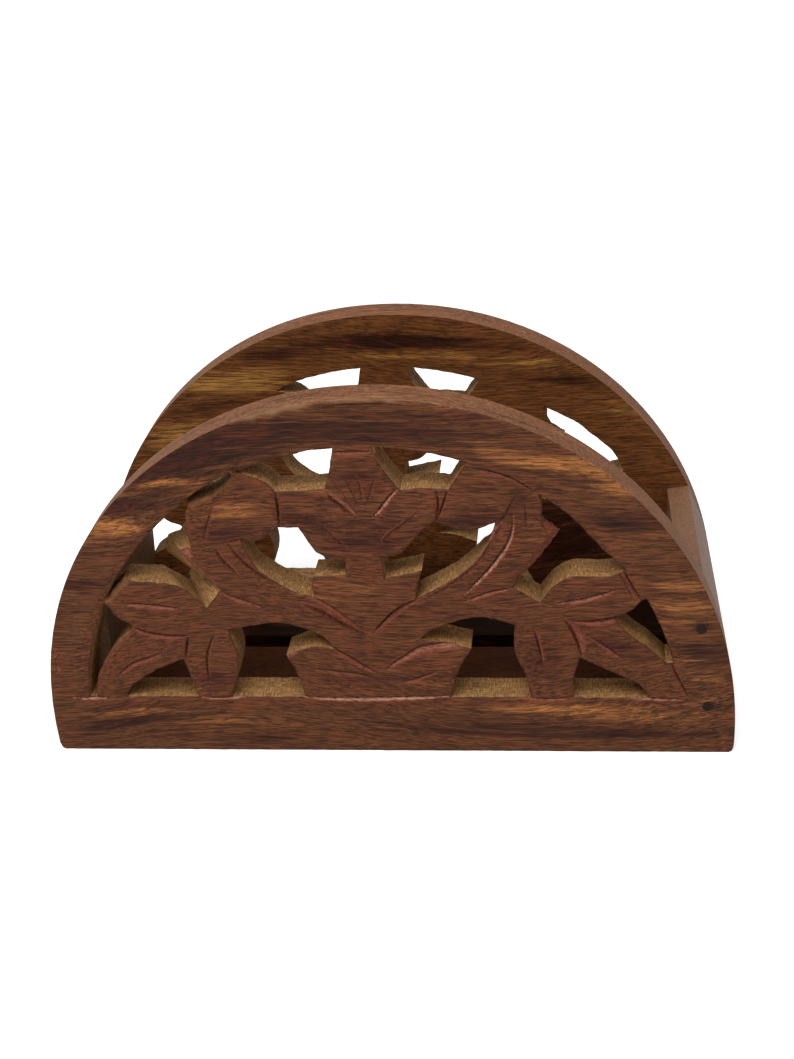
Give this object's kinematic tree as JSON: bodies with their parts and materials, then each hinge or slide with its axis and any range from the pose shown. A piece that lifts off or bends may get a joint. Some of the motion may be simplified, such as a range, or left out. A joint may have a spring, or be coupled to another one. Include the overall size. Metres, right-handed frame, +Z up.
{
  "type": "napkin holder",
  "caption": "Half-moon wooden napkin holder: two carved openwork panels on edge, held apart by end walls and base slats, open at the top.",
  "frame": {"origin": "centre of the holder's footprint, on the surface that it stands on", "axes": "+X to the right along the panels as seen from the front, +Y from the front panel to the back panel, +Z up"},
  "size_m": [0.171, 0.08, 0.0935],
  "materials": {
    "carved_panel": "hand-carved rosewood, planed faces with a low satin polish and raw sawn edges in the openwork",
    "end_wall": "rosewood with upright grain, sanded satin outside, end grain on top",
    "base_slat": "planed rosewood, lightly polished",
    "brad": "bright drawn steel",
    "filler": "dark wood filler, matt"
  },
  "bodies": {
    "root": {"front_panel": "carved_panel", "back_panel": "carved_panel", "left_end_wall": "end_wall", "right_end_wall": "end_wall", "front_base_slat": "base_slat", "rear_base_slat": "base_slat", "front_brads": "brad", "back_brads": "brad", "left_brads": "brad", "right_brads": "brad", "front_fillers": "filler", "back_fillers": "filler", "left_fillers": "filler", "right_fillers": "filler"}
  },
  "joints": []
}
